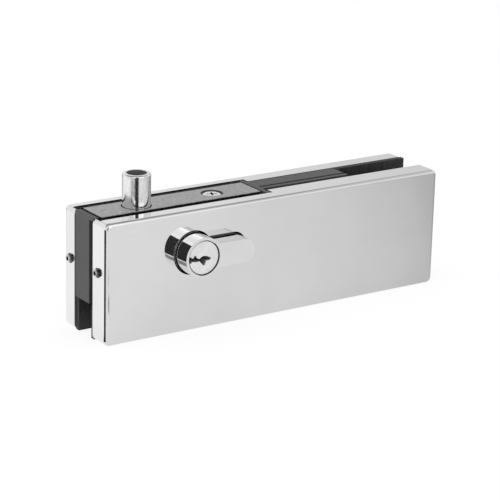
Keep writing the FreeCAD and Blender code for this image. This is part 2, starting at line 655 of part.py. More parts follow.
def makeBoltCarriage():
    """The block under the bolt, with the bevelled notch that the cam drives and a spigot above."""
    body = newBody("bolt_carriage")
    left = f"{boltX} - carriageLeft"
    right = f"{boltX} + carriageRight"
    notchEnd = f"{cylinderX} - camReach - camTip - boltPlay"
    mouth = f"{right} - notchFlare"
    low = f"{notchZ} - notchHalf"
    high = f"{notchZ} + notchHalf"
    outline = polygon((left, carriageFoot), (right, carriageFoot), (right, f"{low} - notchFlare"),
                      (mouth, low), (notchEnd, low), (notchEnd, high), (mouth, high),
                      (right, f"{high} + notchFlare"), (right, boltFoot), (left, boltFoot))
    slab(body, "XZ_Plane", outline, "0 - carriageHalf", "carriageHalf")
    spigot = circle(boltX, "0", "boltHollow - runningFit")
    slab(body, "XY_Plane", spigot, boltFoot, f"{boltFoot} + spigotLength")
    pinHole = circle(boltX, f"{boltFoot} + pinHeight", "pinRadius + runningFit")
    slab(body, "XZ_Plane", pinHole, "0 - carriageHalf", "carriageHalf", cut=True)
    return body


def makeBoltPin():
    """The cross pin that holds tube and carriage together."""
    pin = primitive("Cylinder", "bolt_pin", Radius="pinRadius", Height="2 * (boltRadius - pinInset)")
    place(pin, boltX, "pinInset - boltRadius", f"{boltFoot} + pinHeight", (1, 0, 0), -90)
    return keep("bolt_pin", pin)


def makeBoltSpring():
    """The bowed leaf that rubs on the carriage, a thin arc in the pocket beside it."""
    body = newBody("bolt_spring")
    centreX = f"({boltX} - carriageLeft - leafPlay - leafThickness - leafBow)"

    def leaf(sketch):
        arcs = []
        for radius in ("leafBow", "(leafBow + leafThickness)"):
            ring = Part.Circle(Vector(value(centreX), value(carriageFoot), 0), Vector(0, 0, 1), value(radius))
            angle = math.asin(value("leafReach") / value(radius))
            arc = sketch.addGeometry(Part.ArcOfCircle(ring, -angle, angle))
            fixPoint(sketch, arc, 3, centreX, carriageFoot)
            fixRadius(sketch, arc, radius)
            fix(sketch, "DistanceY", arc, 1, f"{carriageFoot} - leafReach")
            fix(sketch, "DistanceY", arc, 2, f"{carriageFoot} + leafReach")
            arcs.append(arc)
        for point in (1, 2):
            start = sketch.getPoint(arcs[0], point)
            end = sketch.getPoint(arcs[1], point)
            line = sketch.addGeometry(Part.LineSegment(start, end))
            sketch.addConstraint(Sketcher.Constraint("Coincident", line, 1, arcs[0], point))
            sketch.addConstraint(Sketcher.Constraint("Coincident", line, 2, arcs[1], point))
    slab(body, "XZ_Plane", leaf, "0 - leafHalf", "leafHalf")
    return body


def makeCylinderHousing():
    """The profile cylinder's housing: two plug bores, the cam slot and the tapped fixing hole."""
    body = newBody("cylinder_housing")
    back = f"0 - {cylinderFront}"
    slab(body, "XZ_Plane", circle(cylinderX, "cylinderHeight", "euroRadius"), back, cylinderFront)
    tail = stadium(cylinderX, tailCentre, "cylinderHeight", "euroTailHalf")
    slab(body, "XZ_Plane", tail, back, cylinderFront)
    slot = rectangle(f"{cylinderX} - euroRadius - cutBeyond", "cylinderHeight - euroRadius - cutBeyond",
                     f"{cylinderX} + slotReach", "cylinderHeight + euroRadius + cutBeyond")
    slab(body, "XZ_Plane", slot, "0 - slotHalf", "slotHalf", cut=True)
    bore = circle(cylinderX, "cylinderHeight", "plugRadius + runningFit")
    rim = circle(cylinderX, "cylinderHeight", "plugRim + plugRimPlay")
    for side in (-1, 1):
        slab(body, "XZ_Plane", bore, f"{side} * slotHalf", f"{side} * {cylinderFront}", cut=True)
        rimDepth = f"{side} * ({plugFace} - plugRimDepth)"
        slab(body, "XZ_Plane", rim, rimDepth, f"{side} * {cylinderFront}", cut=True)
    thread = circle(fixingX, "0", "fixingRadius + runningFit")
    slab(body, "XY_Plane", thread, "cylinderHeight - euroTailHalf", "cylinderHeight + euroTailHalf", cut=True)
    return body


def makeFrontPlug():
    """A turning plug with its face flange, wavy keyway, circlip groove and clutch slot."""
    body = newBody("front_plug")
    face = f"0 - {plugFace}"
    slab(body, "XZ_Plane", circle("0", "0", "plugRadius"), face, "0 - plugEnd")
    slab(body, "XZ_Plane", circle("0", "0", "plugRim"), face, f"{face} + plugRimDepth")
    outside = "0 - plugRim - cutBeyond"
    wall = "keywayWall - plugRadius"
    wards = [(wall if across is None else f"0 + {across}", f"{up} - keywayDrop")
             for across, up in keywayWards]
    low = "0 - keywayMouth - keywayDrop"
    high = "keywayMouth - keywayDrop"
    keyway = polygon((outside, low), (wall, low), *wards, (wall, high), (outside, high))
    slab(body, "XZ_Plane", keyway, face, "0 - plugEnd", cut=True)
    outer = circle("0", "0", "plugRadius + cutBeyond")
    inner = circle("0", "0", "clipGroove")

    def groove(sketch):
        outer(sketch)
        inner(sketch)
    slab(body, "XZ_Plane", groove, "0 - clipNear - clipThickness - runningFit", "runningFit - clipNear",
         cut=True)
    slot = rectangle("0 - bladeReach - clutchPlay", "0 - bladeHalf - clutchPlay",
                     "bladeReach + clutchPlay", "bladeHalf + clutchPlay")
    slab(body, "XZ_Plane", slot, "0 - plugEnd - bladeDepth - clutchPlay", "0 - plugEnd", cut=True)
    place(body, cylinderX, "0", "cylinderHeight")
    return body


def makeCam():
    """The ring and lever between the plugs; its round tip sits in the carriage notch."""
    body = newBody("cylinder_cam")
    slab(body, "XZ_Plane", circle("0", "0", "camRing"), "0 - camHalf", "camHalf")
    root = "camOverlap - camRing"
    neck = "camNeckLength - camReach"
    tip = "0 - camReach"
    lever = polygon((root, "0 - camRoot"), (neck, "0 - camNeck"), (tip, "0 - camNeck"),
                    (tip, "camNeck"), (neck, "camNeck"), (root, "camRoot"))
    slab(body, "XZ_Plane", lever, "0 - camHalf", "camHalf")
    slab(body, "XZ_Plane", circle(tip, "0", "camTip"), "0 - camHalf", "camHalf")
    bore = circle("0", "0", "plugRadius + 2 * runningFit")
    slab(body, "XZ_Plane", bore, "0 - camHalf", "camHalf", cut=True)
    clipRoom = circle("0", "0", "clipRadius + clipPlay")
    for side in (-1, 1):
        slab(body, "XZ_Plane", clipRoom, f"{side} * (clipNear - clipSide)", f"{side} * camHalf", cut=True)
    drive = rectangle("0 - clipRadius - clipPlay", "0 - earHalf - clutchPlay",
                      "earRoot - plugRadius", "earHalf + clutchPlay")
    slab(body, "XZ_Plane", drive, "0 - camHalf", "camHalf", cut=True)
    place(body, cylinderX, "0", "cylinderHeight", (0, 1, 0), value(thrownAngle))
    return body


def makeClutch():
    """The coupling of front plug and cam: a disc with a blade in the plug and an ear in the cam's slot."""
    body = newBody("cam_clutch")
    disc = "(plugEnd - clutchPlay)"
    slab(body, "XZ_Plane", circle("0", "0", "plugRadius"), f"0 - {disc}", disc)
    blade = rectangle("0 - bladeReach", "0 - bladeHalf", "bladeReach", "bladeHalf")
    slab(body, "XZ_Plane", blade, "0 - plugEnd - bladeDepth", f"0 - {disc}")
    corners = (("earRoot - plugRadius", "0 - earHalf"), ("earRoot - plugRadius", "earHalf"),
               ("0 - clipRadius", "earHalf"), ("0 - clipRadius", "0 - earHalf"))
    ear = polygon(*(turned(across, up, thrownAngle) for across, up in corners))
    slab(body, "XZ_Plane", ear, f"0 - {disc}", disc)
    place(body, cylinderX, "0", "cylinderHeight")
    return body


def makeCirclip(label, side):
    """A spring ring that stops one plug from leaving the housing."""
    body = newBody(label)
    outer = circle("0", "0", "clipRadius")
    inner = circle("0", "0", "clipGroove + runningFit")

    def ring(sketch):
        outer(sketch)
        inner(sketch)
    start = f"{side} * clipNear"
    end = f"{side} * (clipNear + clipThickness)"
    slab(body, "XZ_Plane", ring, start, end)
    opening = rectangle("0 - clipRadius - cutBeyond", "0 - clipOpening", "0", "clipOpening")
    slab(body, "XZ_Plane", opening, start, end, cut=True)
    place(body, cylinderX, "0", "cylinderHeight")
    return body


def countersunkScrew(name, sink, shank, length, socket, socketDepth):
    """A countersunk hexagon-socket screw along +Z, with the top of its head at the origin."""
    head = f"({sink} - headPlay)"
    cone = primitive("Cone", name + "_head", Radius1=head, Radius2=shank, Height=f"{head} - {shank}")
    rod = primitive("Cylinder", name + "_shank", Radius=shank, Height=length)
    hexagon = primitive("Prism", name + "_socket", Circumradius=socket, Height=socketDepth)
    return cutAway(name, joined(name + "_solid", cone, rod), hexagon)


def makeClampScrews():
    """Three M6 screws that draw the two clamp plates together through the lock case."""
    screws = []
    length = f"2 * {clampBack} - clampScrewShort"
    for number, (across, up) in enumerate(clampScrewPlaces, 1):
        screw = countersunkScrew(f"clamp_screw_{number}", "clampHead", "clampScrew", length, "clampSocket",
                                 "clampSocketDepth")
        screws.append(place(screw, across, f"headBelow - {clampBack}", up, (1, 0, 0), -90))
    return grouped("clamp_screws", screws)


def makeClampInserts():
    """Threaded steel bushes in the rear clamp plate, one for each clamp screw."""
    inserts = []
    for number, (across, up) in enumerate(clampScrewPlaces, 1):
        bush = primitive("Cylinder", f"insert_{number}_bush", Radius="insertRadius", Height="insertLength")
        bore = primitive("Cylinder", f"insert_{number}_bore", Radius="clampScrew + runningFit",
                         Height="insertLength")
        insert = cutAway(f"insert_{number}", bush, bore)
        inserts.append(place(insert, across, f"{clampBack} - insertLength", up, (1, 0, 0), -90))
    return grouped("clamp_inserts", inserts)


def makeCaseScrews():
    """Four M3 screws that close the lock case."""
    screws = []
    for number, (across, up) in enumerate(caseScrewPlaces, 1):
        screw = countersunkScrew(f"case_screw_{number}", "caseScrewHead", "caseScrew", "caseScrewLength",
                                 "smallSocket", "smallSocketDepth")
        screws.append(place(screw, across, f"headBelow - {caseFront}", up, (1, 0, 0), -90))
    return grouped("case_screws", screws)


def makeGrubScrews():
    """Four M4 grub screws in the ends of the clamp plates; their heads hold the covers."""
    screws = []
    for end, inwards in ((leftEnd, 1), (rightEnd, -1)):
        for side, reliefEdge, grubAxis in (frontSide, rearSide):
            name = f"grub_screw_{len(screws) + 1}"
            bevel = primitive("Cone", name + "_bevel", Radius1="grubRadius - grubBevel", Radius2="grubRadius",
                              Height="grubBevel")
            rod = primitive("Cylinder", name + "_rod", "grubBevel", Radius="grubRadius",
                            Height="grubLength - grubBevel")
            hexagon = primitive("Prism", name + "_socket", Circumradius="smallSocket",
                                Height="grubSocketDepth")
            screw = cutAway(name, joined(name + "_solid", bevel, rod), hexagon)
            place(screw, f"{end} - {inwards} * grubShows", f"{side} * {grubAxis}", "grubHeight",
                  (0, 1, 0), 90 * inwards)
            screws.append(screw)
    return grouped("cover_grub_screws", screws)


def makeCylinderScrew():
    """The M5 screw through the faceplate into the cylinder's tail, with a cross recess."""
    dome = primitive("Cone", "fixing_dome", Radius1="fixingHead", Radius2="fixingHead - fixingDomeEdge",
                     Height="fixingDome")
    cone = primitive("Cone", "fixing_cone", "fixingRadius - fixingHead", Radius1="fixingRadius",
                     Radius2="fixingHead", Height="fixingHead - fixingRadius")
    length = f"{plateTop} - cylinderHeight + euroTailHalf - fixingShort"
    rod = primitive("Cylinder", "fixing_rod", f"0 - ({length})", Radius="fixingRadius", Height=length)
    solid = joined("fixing_solid", dome, cone, rod)
    core = primitive("Cone", "fixing_core", "0 - crossCore", Radius1="crossWidth / 2", Radius2="crossWidth",
                     Height="crossCore + cutBeyond")
    recess = [core]
    for name, long, wide in (("fixing_arm_1", "crossLength", "crossWidth"),
                             ("fixing_arm_2", "crossWidth", "crossLength")):
        arm = doc.addObject("Part::Box", name)
        for setting, text in (("Length", long), ("Width", wide), ("Height", "crossDepth + cutBeyond")):
            bind(arm, setting, text)
        recess.append(place(arm, f"0 - {long} / 2", f"0 - {wide} / 2", "0 - crossDepth"))
    screw = cutAway("cylinder_screw", solid, joined("fixing_cross", *recess))
    place(screw, fixingX, "0", f"{plateTop} - fixingSink + fixingHead + runningFit", (0, 0, 1),
          value("crossTurn"))
    return keep("cylinder_screw", screw)


makeCover("front_cover", frontSide)
makeCover("rear_cover", rearSide)
makeFrontClamp()
makeRearClamp()
makeGasket("front_gasket", frontSide)
makeGasket("rear_gasket", rearSide)
makeLockCase()
makeCaseCover()
makeFaceplate()
makeBoltTube()
makeBoltCarriage()
makeBoltPin()
makeBoltSpring()
makeCylinderHousing()
frontPlug = makeFrontPlug()
mirrored("rear_plug", frontPlug)
makeCam()
makeClutch()
makeCirclip("front_circlip", -1)
makeCirclip("rear_circlip", 1)
makeClampScrews()
makeClampInserts()
makeCaseScrews()
makeGrubScrews()
makeCylinderScrew()

doc.recompute()
for thing in doc.Objects:
    if "Invalid" in thing.State or "Error" in thing.State:
        raise RuntimeError(f"{thing.Label} did not compute: {thing.State}")
for label, thing in subParts.items():
    if thing.Shape.isNull() or not thing.Shape.isValid() or thing.Shape.Volume < tolerance:
        raise RuntimeError(f"{label} has no valid shape")

os.makedirs("parts", exist_ok=True)
for label, thing in subParts.items():
    thing.Shape.exportStep(os.path.join("parts", label + ".step"))
    print(f"{label}: {len(thing.Shape.Solids)} solid(s), {thing.Shape.Volume:.1f} mm3")
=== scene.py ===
# Looks of the floor lock patch fitting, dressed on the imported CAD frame.
import bpy
import bmesh
import json
import math
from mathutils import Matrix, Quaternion, Vector


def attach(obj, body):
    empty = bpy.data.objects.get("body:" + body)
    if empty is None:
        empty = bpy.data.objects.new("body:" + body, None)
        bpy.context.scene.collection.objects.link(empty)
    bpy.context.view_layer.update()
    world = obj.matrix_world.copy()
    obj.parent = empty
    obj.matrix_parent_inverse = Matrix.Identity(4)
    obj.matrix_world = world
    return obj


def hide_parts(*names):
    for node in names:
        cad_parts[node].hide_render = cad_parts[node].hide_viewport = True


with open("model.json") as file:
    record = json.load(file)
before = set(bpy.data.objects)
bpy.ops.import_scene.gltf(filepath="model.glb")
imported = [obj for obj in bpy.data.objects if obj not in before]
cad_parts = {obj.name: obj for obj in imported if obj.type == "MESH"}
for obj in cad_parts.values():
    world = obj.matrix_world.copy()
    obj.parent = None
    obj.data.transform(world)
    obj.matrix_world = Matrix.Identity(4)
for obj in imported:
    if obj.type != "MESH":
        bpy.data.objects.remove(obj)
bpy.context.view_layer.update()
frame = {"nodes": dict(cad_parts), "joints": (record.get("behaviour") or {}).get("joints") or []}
nodes = frame["nodes"]
mm = 0.001
print("frame loaded:", len(nodes), "CAD nodes")

view = {
    "place": (-493.2, -716.9, 301.9),  # mm, from the camera fitted to the photograph
    "aim": (-2.9, 0.0, 23.6),  # mm
    "roll": 1.48,  # degrees
    "lens": 156.5,  # mm
    "sensor": 36,  # mm, width
    "nearest": 10,  # mm: nothing closer to the camera is drawn
}


def makeCamera(setting):
    data = bpy.data.cameras.new("camera")
    data.lens = setting["lens"]
    data.sensor_width = setting["sensor"]
    data.clip_start = setting["nearest"] * mm
    camera = bpy.data.objects.new("camera", data)
    bpy.context.collection.objects.link(camera)
    place = Vector(setting["place"]) * mm
    towards = (Vector(setting["aim"]) * mm - place).to_track_quat("-Z", "Y")
    camera.location = place
    camera.rotation_mode = "QUATERNION"
    camera.rotation_quaternion = towards @ Quaternion((0, 0, 1), math.radians(setting["roll"]))
    bpy.context.scene.camera = camera


makeCamera(view)
print("camera placed")


def linear(hexColour):
    # sRGB hex to the linear colour that the shaders take
    parts = [int(hexColour[index:index + 2], 16) / 255 for index in (1, 3, 5)]
    parts = [part / 12.92 if part <= 0.04045 else ((part + 0.055) / 1.055) ** 2.4 for part in parts]
    return (*parts, 1.0)


def addNode(tree, kind, settings=None, links=None, stops=None):
    # one shader node with its settings, its incoming links and, on a ramp, its colour stops
    made = tree.nodes.new(kind)
    for name, value in (settings or {}).items():
        if isinstance(name, int) or name in made.inputs:
            made.inputs[name].default_value = value
        else:
            setattr(made, name, value)
    for name, source in (links or {}).items():
        tree.links.new(source, made.inputs[name])
    if stops:
        ramp = made.color_ramp
        while len(ramp.elements) < len(stops):
            ramp.elements.new(0.5)
        for element, (position, colour) in zip(ramp.elements, stops):
            element.position = position
            element.color = colour
    return made


def newMaterial(name):
    material = bpy.data.materials.new(name)
    material.use_nodes = True
    tree = material.node_tree
    tree.nodes.clear()
    output = addNode(tree, "ShaderNodeOutputMaterial")
    return material, tree, output


def zoneShare(tree, place, zone):
    # how far a point lies in a zone, from 0 to 1: its distance from the centre, measured only across the
    # axes that "across" names, runs from "from" to "to" in mm
    shifted = addNode(tree, "ShaderNodeVectorMath", {"operation": "SUBTRACT", 1: zone["centre"]}, {0: place})
    flat = addNode(tree, "ShaderNodeVectorMath", {"operation": "MULTIPLY", 1: zone["across"]},
                   {0: shifted.outputs[0]})
    far = addNode(tree, "ShaderNodeVectorMath", {"operation": "LENGTH"}, {0: flat.outputs[0]})
    share = addNode(tree, "ShaderNodeMapRange", {"From Min": zone["from"] * mm, "From Max": zone["to"] * mm},
                    {"Value": far.outputs["Value"]})
    return share.outputs[0]


surfaceBasics = {
    "cloudNoise": {"Detail": 3.0, "Roughness": 0.55},
    "grainNoise": {"Detail": 4.0, "Roughness": 0.6},
    "low": 0.35,  # both seldom leave the stretch from low to high
    "high": 0.65,
    "flatNormal": 0.999,  # a normal's largest part where a flat face ends
    "foldNormal": 0.97,  # and where the fold has all its haze
    "edgeSamples": 6,
    # roughness of the dull tone that is painted as shade
    "paintedShadeRough": 0.6,
}


def foldHaze(tree, normal, haze):
    # extra roughness on the folds, where no part of the normal is near 1
    steep = addNode(tree, "ShaderNodeVectorMath", {"operation": "ABSOLUTE"}, {0: normal})
    parts = addNode(tree, "ShaderNodeSeparateXYZ", {}, {0: steep.outputs[0]}).outputs
    most = addNode(tree, "ShaderNodeMath", {"operation": "MAXIMUM"}, {0: parts[0], 1: parts[1]})
    most = addNode(tree, "ShaderNodeMath", {"operation": "MAXIMUM"}, {0: most.outputs[0], 1: parts[2]})
    return addNode(tree, "ShaderNodeMapRange", {"From Min": surfaceBasics["flatNormal"],
                                                "From Max": surfaceBasics["foldNormal"], "To Max": haze},
                   {"Value": most.outputs[0]}).outputs[0]


def edgeRounding(tree, place, look):
    # normals that round the edges; with an edge zone, only there
    rounding = addNode(tree, "ShaderNodeBevel", {"Radius": look["edge"] * mm,
                                                 "samples": surfaceBasics["edgeSamples"]})
    if "edgeZone" in look:
        radius = addNode(tree, "ShaderNodeMath", {"operation": "MULTIPLY", 1: look["edge"] * mm},
                         {0: zoneShare(tree, place, look["edgeZone"])})
        tree.links.new(radius.outputs[0], rounding.inputs["Radius"])
    return rounding.outputs[0]


def makeSurface(look):
    # a worked surface: two tones in broad clouds, grain along one direction, uneven polish and a fine relief
    material, tree, output = newMaterial(look["name"])
    where = addNode(tree, "ShaderNodeTexCoord")
    place = where.outputs["Object"]
    stretched = addNode(tree, "ShaderNodeMapping", {"Scale": look["stretch"]}, {"Vector": place})
    cloud = addNode(tree, "ShaderNodeTexNoise",
                    {"Scale": 1 / (look["cloud"] * mm), **surfaceBasics["cloudNoise"]}, {"Vector": place})
    grain = addNode(tree, "ShaderNodeTexNoise",
                    {"Scale": 1 / (look["grain"] * mm), **surfaceBasics["grainNoise"]},
                    {"Vector": stretched.outputs[0]})
    both = addNode(tree, "ShaderNodeMath", {"operation": "MULTIPLY_ADD", 1: look["grainShare"]},
                   {0: grain.outputs["Fac"], 2: cloud.outputs["Fac"]}).outputs[0]
    low = surfaceBasics["low"] * (1 + look["grainShare"])
    high = surfaceBasics["high"] * (1 + look["grainShare"])
    share = addNode(tree, "ShaderNodeMapRange", {"From Min": low, "From Max": high}, {"Value": both})
    tone = addNode(tree, "ShaderNodeValToRGB", {}, {"Fac": share.outputs[0]},
                   [(0.0, linear(look["dark"])), (1.0, linear(look["light"]))])
    smooth, rough = look["rough"]
    polish = addNode(tree, "ShaderNodeMapRange",
                     {"From Min": low, "From Max": high, "To Min": smooth, "To Max": rough},
                     {"Value": both}).outputs[0]
    if "foldRough" in look:
        haze = foldHaze(tree, where.outputs["Normal"], look["foldRough"])
        polish = addNode(tree, "ShaderNodeMath", {"operation": "ADD"}, {0: polish, 1: haze}).outputs[0]
    relief = addNode(tree, "ShaderNodeBump", {"Strength": look["bump"], "Distance": look["depth"] * mm},
                     {"Height": grain.outputs["Fac"]})
    if look["edge"]:
        tree.links.new(edgeRounding(tree, place, look), relief.inputs["Normal"])
    shader = addNode(tree, "ShaderNodeBsdfPrincipled", {"Metallic": look["metallic"]},
                     {"Base Color": tone.outputs["Color"], "Roughness": polish, "Normal": relief.outputs[0]})
    if "index" in look:
        shader.inputs["IOR"].default_value = look["index"]
    surface = shader.outputs[0]
    # painted shade: in each zone the surface gives way to a dull, darker tone
    for zone in look.get("paintedShade", ()):
        dull = addNode(tree, "ShaderNodeBsdfPrincipled",
                       {"Base Color": linear(zone["tone"]), "Roughness": surfaceBasics["paintedShadeRough"]})
        surface = addNode(tree, "ShaderNodeMixShader", {},
                          {0: zoneShare(tree, place, zone), 1: surface, 2: dull.outputs[0]}).outputs[0]
    tree.links.new(surface, output.inputs["Surface"])
    return material


def middleOf(name):
    # middle of a CAD node's box
    points = [vertex.co for vertex in nodes[name].data.vertices]
    return tuple((min(point[letter] for point in points) + max(point[letter] for point in points)) / 2
                 for letter in range(3))


# Axes round which the painted shade below is drawn
plugAxis = next(tuple(joint["pos_m"]) for joint in frame["joints"] if joint["name"] == "front_key_turn")
boltAxis = middleOf("bolt_tube")
screwAxis = middleOf("cylinder_screw")

# In each finish, light and dark are its two tones, and rough is the roughness of its dark and light places.
# Lengths are in mm: cloud and grain are the sizes of the broad and the fine pattern, depth is the height of
# the relief, and edge the rounding of edges. stretch below 1 draws the grain out along an axis, grainShare
# is its share beside the cloud, and index is the IOR where there is no metal. Real scratches, pits and
# rolling lines are 0.02 to 0.1 mm wide, too fine to show here, so every grain is drawn 0.25 mm or coarser.

# Stainless steel sheet, folded, then mirror-polished: a clear reflection with a faint haze of buffing lines.
# The wheel rounds over the folds, which leaves them a little less sharp, and over the outer edges.
polishedStainless = {"name": "polished_stainless", "light": "#F1F1F1", "dark": "#EAEAEA", "metallic": 1.0,
                     "rough": (0.035, 0.075), "cloud": 40, "grain": 0.5, "stretch": (0.04, 1, 1),
                     "grainShare": 0.35, "bump": 0.05, "depth": 0.015, "edge": 0.2, "foldRough": 0.05,
                     "edgeZone": {"centre": (0, 0, 0), "across": (0, 1, 0), "from": 14.5, "to": 15}}
# Zinc casting with a dark grey coat: dull, finely pitted, edges a little lighter.
coatedCasting = {"name": "coated_casting", "light": "#555555", "dark": "#3E3E3E", "metallic": 0.0,
                 "rough": (0.42, 0.6), "cloud": 5, "grain": 0.6, "stretch": (1, 1, 1),
                 "grainShare": 0.8, "bump": 0.5, "depth": 0.05, "edge": 0.25, "index": 1.5}
# Rolled steel plate: grey, with rolling lines along it.
rolledSteel = {"name": "rolled_steel", "light": "#565656", "dark": "#3C3C3C", "metallic": 1.0,
               "rough": (0.38, 0.5), "cloud": 12, "grain": 0.4, "stretch": (0.08, 1, 1),
               "grainShare": 0.8, "bump": 0.3, "depth": 0.03, "edge": 0.2}
# Zinc-plated steel bar, tumbled, which rounds its edges: a soft grey sheen, mottled, with short scratches
# lengthwise, and painted shade in the countersink: a dull dark grey round the screw.
tumbledZinc = {"name": "tumbled_zinc_plate", "light": "#B4B4B4", "dark": "#7C7C7C", "metallic": 1.0,
               "rough": (0.13, 0.24), "cloud": 1.6, "grain": 0.6, "stretch": (0.4, 1, 1),
               "grainShare": 1.2, "bump": 0.5, "depth": 0.05, "edge": 0.45,
               "paintedShade": ({"centre": screwAxis, "across": (1, 1, 0), "from": 4.8, "to": 4.6,
                          "tone": "#303030"},)}
# Steel tube with bright zinc plating: upright bands of reflection, broken by fine drawing lines, and
# painted shade in the bore: a dull mid grey inside it.
zincPlated = {"name": "zinc_plated_tube", "light": "#FBFBFB", "dark": "#DEDEDE", "metallic": 1.0,
              "rough": (0.1, 0.2), "cloud": 2.2, "grain": 0.5, "stretch": (1, 1, 0.25),
              "grainShare": 1.0, "bump": 0.25, "depth": 0.03, "edge": 0,
              "paintedShade": ({"centre": boltAxis, "across": (1, 1, 0), "from": 4.25, "to": 4.15,
                         "tone": "#686868"},)}
# Brass with chrome plating: the sharpest mirror on the fitting; inside the covers a dull grey, painted
# shade.
chromedBrass = {"name": "chromed_brass", "light": "#F2F2F2", "dark": "#ECECEC", "metallic": 1.0,
                "rough": (0.02, 0.04), "cloud": 15, "grain": 0.5, "stretch": (1, 1, 1),
                "grainShare": 0.3, "bump": 0.03, "depth": 0.01, "edge": 0.12,
                "paintedShade": ({"centre": plugAxis, "across": (0, 1, 0), "from": 16.4, "to": 16.2,
                           "tone": "#9C9C9C"},)}
# Turned brass with nickel plating: a bright satin face, with painted shade in the keyway and in the gap
# round it.
nickelledBrass = {"name": "nickelled_brass", "light": "#F8F8F8", "dark": "#E6E6E6", "metallic": 0.6,
                  "rough": (0.14, 0.26), "cloud": 4, "grain": 0.3, "stretch": (1, 1, 1),
                  "grainShare": 0.5, "bump": 0.12, "depth": 0.02, "edge": 0.08,
                  "paintedShade": ({"centre": plugAxis, "across": (0, 1, 0), "from": 24.2, "to": 24.0,
                             "tone": "#888888"},
                            {"centre": plugAxis, "across": (1, 0, 1), "from": 6.75, "to": 6.9,
                             "tone": "#505050"})}
# Die-cast aluminium, dark grey: hidden behind the covers but for its edges.
darkAluminium = {"name": "dark_cast_aluminium", "light": "#4A4A4A", "dark": "#363636", "metallic": 0.6,
                 "rough": (0.45, 0.62), "cloud": 10, "grain": 0.5, "stretch": (1, 1, 1),
                 "grainShare": 0.6, "bump": 0.5, "depth": 0.05, "edge": 0.25}
# Pressed gasket sheet, black: matt, with upright wipe marks.
gasketRubber = {"name": "gasket_rubber", "light": "#3A3A3A", "dark": "#141414", "metallic": 0.0,
                "rough": (0.5, 0.75), "cloud": 1.6, "grain": 1.4, "stretch": (1, 1, 0.05),
                "grainShare": 1.6, "bump": 0.4, "depth": 0.06, "edge": 0.15, "index": 1.52}
# Bright machine screws: small scratches on a clean metal.
brightSteel = {"name": "bright_screw_steel", "light": "#F0F0F0", "dark": "#CCCCCC", "metallic": 1.0,
               "rough": (0.14, 0.26), "cloud": 2, "grain": 0.35, "stretch": (1, 1, 1),
               "grainShare": 0.7, "bump": 0.25, "depth": 0.02, "edge": 0.12}
# The same steel made lighter for the cross head screw, a painted highlight on its face; painted shade in the
# cross.
crossScrew = {**brightSteel, "name": "cross_screw_steel", "light": "#F8F8F8", "dark": "#DCDCDC",
              "metallic": 0.7, "paintedShade": ({"centre": plugAxis, "across": (0, 0, 1), "from": 17.55, "to": 17.4,
                                          "tone": "#3A3A3A"},)}
# Thread of a zinc-plated screw, darker and duller than the screw's bright end.
darkerThread = {"name": "darker_screw_thread", "light": "#909090", "dark": "#484848", "metallic": 1.0,
               "rough": (0.22, 0.38), "cloud": 1.2, "grain": 0.3, "stretch": (1, 1, 1),
               "grainShare": 0.8, "bump": 0.2, "depth": 0.02, "edge": 0}
# Blackened screws: dark, oily, with a little sheen. In the hexagon sockets of the grub screws this dark is
# painted shade.
blackenedSteel = {"name": "blackened_screw_steel", "light": "#3C3C3C", "dark": "#242424", "metallic": 0.8,
                  "rough": (0.28, 0.42), "cloud": 1.5, "grain": 0.25, "stretch": (1, 1, 1),
                  "grainShare": 0.6, "bump": 0.3, "depth": 0.02, "edge": 0.08}
# Spring strip and rings, hardened and drawn: dark grey, smooth, with lines along the strip.
springSteel = {"name": "spring_steel", "light": "#787878", "dark": "#626262", "metallic": 1.0,
               "rough": (0.25, 0.35), "cloud": 3, "grain": 0.3, "stretch": (1, 1, 0.2),
               "grainShare": 0.5, "bump": 0.2, "depth": 0.02, "edge": 0}

finishes = (
    (polishedStainless, ("front_cover", "rear_cover")),
    (coatedCasting, ("lock_case",)),
    (rolledSteel, ("case_cover",)),
    (tumbledZinc, ("faceplate",)),
    (zincPlated, ("bolt_tube", "bolt_carriage", "bolt_pin", "cylinder_cam", "cam_clutch", "clamp_inserts")),
    (chromedBrass, ("cylinder_housing",)),
    (nickelledBrass, ("front_plug", "rear_plug")),
    (darkAluminium, ("front_clamp", "rear_clamp")),
    (gasketRubber, ("front_gasket", "rear_gasket")),
    (crossScrew, ("cylinder_screw",)),
    (brightSteel, ("case_screws", "cover_grub_screws")),
    (blackenedSteel, ("clamp_screws",)),
    (springSteel, ("bolt_spring", "front_circlip", "rear_circlip")),
)
for look, names in finishes:
    look["material"] = makeSurface(look)
    for name in names:
        for slot in nodes[name].material_slots:
            slot.material = look["material"]
print("finishes made:", len(finishes))


def addMesh(name, corners, faces, materials):
    mesh = bpy.data.meshes.new(name)
    mesh.from_pydata(corners, [], faces)
    for material in materials:
        mesh.materials.append(material)
    thing = bpy.data.objects.new(name, mesh)
    bpy.context.collection.objects.link(thing)
    return thing


grubScrew = {
    "pitch": 0.7,  # mm, M4 thread
    "groove": 0.36,  # mm from the crest of the thread to its root
    "crestHalf": 1 / 16,  # half width of the flat crest, as a share of the pitch
    "rootStart": 3 / 8,  # where the root begins, as a share of the pitch from the middle of the crest
    "crest": 0.15,  # mm that the crest stays inside the CAD solid
    "bevel": 0.45,  # mm
    "brightRows": 8,  # rings from the socket to the end of the bevel, which take the bright steel; the thread beyond takes a darker tone
    "socket": 1.0,  # mm, corner radius of the hexagon
    "socketBevel": 0.12,  # mm
    "socketDepth": 2.0,  # mm
    "sides": 24,  # steps round the screw
    "slices": 8,  # steps along one turn of the thread
}


def threadRadius(setting, crest, depth, turn, length):
    # radius of a metric thread, with the bevel at both ends of the screw
    fromCrest = abs((depth / setting["pitch"] - turn) % 1 - 0.5)
    flank = (setting["rootStart"] - fromCrest) / (setting["rootStart"] - setting["crestHalf"])
    height = min(1, max(0, flank))
    radius = crest - setting["groove"] * (1 - height)
    return min(radius, crest - setting["bevel"] + min(depth, length - depth))


